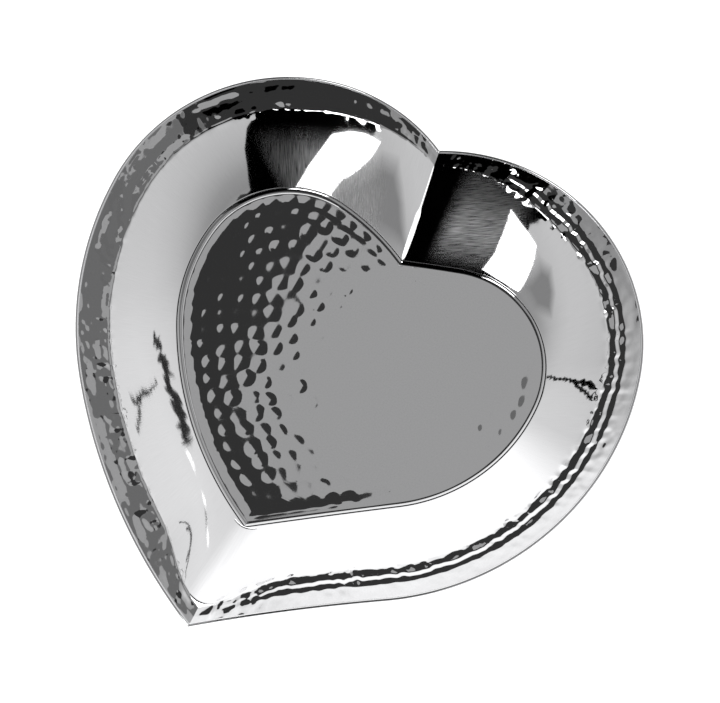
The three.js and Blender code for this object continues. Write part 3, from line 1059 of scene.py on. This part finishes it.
def make_tent():
    rows, cols = TENT_GRID
    points, glow = [], []
    for i in range(rows + 1):
        za = TENT_REACH * i / rows
        for j in range(cols):
            az = 360 * j / cols
            a, z = math.radians(az), math.radians(za)
            points.append((
                TENT_RADIUS * math.sin(z) * math.cos(a),
                TENT_RADIUS * math.sin(z) * math.sin(a),
                TENT_RADIUS * math.cos(z),
            ))
            back = np.interp(az, *zip(*BACK_SHARE))
            side = np.interp(za, *zip(*SIDE_GLOW))
            glow.append(side + (np.interp(za, *zip(*BACK_GLOW)) - side) * back)
    faces = [
        (i * cols + j, (i + 1) * cols + j, (i + 1) * cols + (j + 1) % cols, i * cols + (j + 1) % cols)
        for i in range(rows) for j in range(cols)
    ]
    tent = stage_mesh("tent", points, faces, glow_material("tent"))
    attribute = tent.data.attributes.new("glow", "FLOAT", "POINT")
    attribute.data.foreach_set("value", np.array(glow, dtype=np.float32))
    tent.visible_camera = False
    tent.visible_shadow = False


def make_table():
    far = TABLE_REACH
    material = bpy.data.materials.new("table")
    nodes, links = clean_nodes(material)
    out = nodes.new("ShaderNodeOutputMaterial")
    shader = nodes.new("ShaderNodeBsdfPrincipled")
    shader.inputs["Base Color"].default_value = (0.82, 0.82, 0.82, 1)
    shader.inputs["Roughness"].default_value = 0.7
    shader.inputs["Emission Color"].default_value = (1, 1, 1, 1)
    shader.inputs["Emission Strength"].default_value = TABLE_GLOW
    links.new(shader.outputs[0], out.inputs[0])
    stage_mesh("table", [(-far, -far, 0), (far, -far, 0), (far, far, 0), (-far, far, 0)],
               [(0, 1, 2, 3)], material)


def make_top_light():
    """Soft light over the table, which gives the dish its shadow and is not seen in the metal."""
    data = bpy.data.lights.new("top_light", "AREA")
    data.shape = "DISK"
    data.size = TOP_LIGHT_WIDTH * MM
    data.energy = TOP_LIGHT_WATTS
    light = bpy.data.objects.new("top_light", data)
    bpy.context.scene.collection.objects.link(light)
    light.matrix_world = Matrix.Translation(Vector(to_world([TOP_LIGHT])[0]))
    light.visible_camera = False
    light.visible_glossy = False


def overhead(corners, height):
    """Corners of a level card at one height."""
    return [(x, y, height) for x, y in corners]


def streak(name, points, widths, seed, strength=BLACK):
    """Ragged strip through (heading, angle from straight up) points, widths in degrees."""
    rng = np.random.default_rng(seed)
    points = np.array(points, dtype=float)
    share = np.linspace(0, 1, len(points))
    fine = np.linspace(0, 1, 9 * (len(points) - 1) + 1)
    heading = np.interp(fine, share, points[:, 0])
    zenith = np.interp(fine, share, points[:, 1])
    width = np.interp(fine, share, widths)
    forward = unit(np.stack([np.gradient(heading), np.gradient(zenith)], 1))
    side = np.stack([-forward[:, 1], forward[:, 0]], 1)
    centre = np.stack([heading, zenith], 1) + side * (width * rng.uniform(-0.4, 0.4, len(fine)))[:, None]
    half = side * (width * rng.uniform(0.25, 0.7, len(fine)))[:, None]
    spots = np.concatenate([centre - half, centre + half])
    a, z = np.radians(spots[:, 0]), np.radians(spots[:, 1])
    places = STREAK_DISTANCE * np.stack([np.sin(z) * np.cos(a), np.sin(z) * np.sin(a), np.cos(z)], 1)
    n = len(fine)
    faces = [(i, i + 1, n + i + 1, n + i) for i in range(n - 1)]
    obj = stage_mesh(name, places, faces, glow_material(name, strength))
    obj.visible_camera = False
    obj.visible_shadow = False


make_tent()
make_table()
make_top_light()

# What the walls mirror: a black opening, a grey patch on it and the softbox before it.
card("opening", on_opening([
    (-20, -40), (-10, -120), (-70, -200), (-90, -260), (440, -330), (480, 140), (430, 215),
    (345, 270), (250, 330), (250, 460), (0, 460), (-40, 120), (-30, 0),
]), BLACK)
soft_card("grey", on_opening([
    (-60, -100), (-125, -140), (-215, -90), (-285, 10), (-170, 110), (-50, 90),
], nearer=3), GREY_PATCH, 0.5)
card("softbox", [(-66, -107, 477), (-158, -190, 334), (-307, -186, 398), (-210, -82, 528)], SOFTBOX)

# What the floor and flanges mirror: dark and grey patches overhead.
card("ceiling", overhead([
    (-110, 440), (-79, 453), (-179, 242), (-108, 140), (-60, 122), (30, 112), (85, 102), (112, 20),
    (370, -130), (250, -320), (-80, -400), (-340, -210), (-385, 0), (-490, 30), (-500, 230),
    (-420, 430),
], CEILING), DARK_CEILING)
card("ceiling_arm", overhead([
    (-420, 430), (-110, 440), (-79, 453), (-60, 410), (10, 405), (60, 440), (250, 450),
    (360, 700), (0, 820), (-400, 740),
], CEILING), DARK_CEILING)
card("ceiling_far", overhead([
    (-330, 330), (-120, 352), (60, 352), (160, 335), (300, 480), (250, 640), (0, 700),
    (-300, 600),
], CEILING_FAR), DARK_CEILING)
card("ceiling_spot", overhead([
    (126, 170), (128, 222), (150, 282), (215, 310), (225, 180),
], CEILING - CARD_GAP), SPOT)
soft_card("ceiling_grey", overhead([
    (85, 110), (150, 120), (216, 180), (212, 330), (205, 480), (450, 520), (560, 300),
    (500, 60), (330, -120), (110, -60),
], CEILING + CARD_GAP), GREY_CEILING, 0.1)

# Thin dark lines, a dark bar and a bright spot at its end, mirrored in the walls.
streak("right_line", [(150, 48), (149, 53.4), (147.3, 61), (145.9, 69), (143.7, 81.5), (143, 87)],
       (0.8, 0.9, 1.1, 1.3, 1.8, 2.4), 5)
streak("right_branch", [(146, 67), (142.8, 74.4), (142, 78.4), (140.5, 84)], (0.7, 1.0, 1.2, 1.4), 6)
streak("left_line", [(34.4, 58), (34.7, 61), (35, 65.2), (35, 69.2)], (0.3, 0.4, 0.5, 0.6), 7)
streak("left_branch", [(35, 65.5), (35.8, 68), (36.9, 71)], (0.25, 0.4, 0.5), 8)
streak("left_bar", [(28, 54), (30.2, 53.3), (33.7, 52.4), (36.9, 53.3), (39, 55), (41.1, 55.4)],
       (0.6, 2.2, 3.0, 3.4, 3.4, 2.8), 9, DARK_BAR)
streak("left_spot", [(41.5, 56.7), (41.8, 57.3), (42.0, 57.7)], (0.6, 1.1, 0.6), 10, SPARKLE)

world = bpy.data.worlds.new("studio")
bpy.context.scene.world = world
world.use_nodes = True
world.node_tree.nodes["Background"].inputs[0].default_value = (1, 1, 1, 1)
world.node_tree.nodes["Background"].inputs[1].default_value = 1.0
bpy.context.scene.view_settings.view_transform = "Standard"
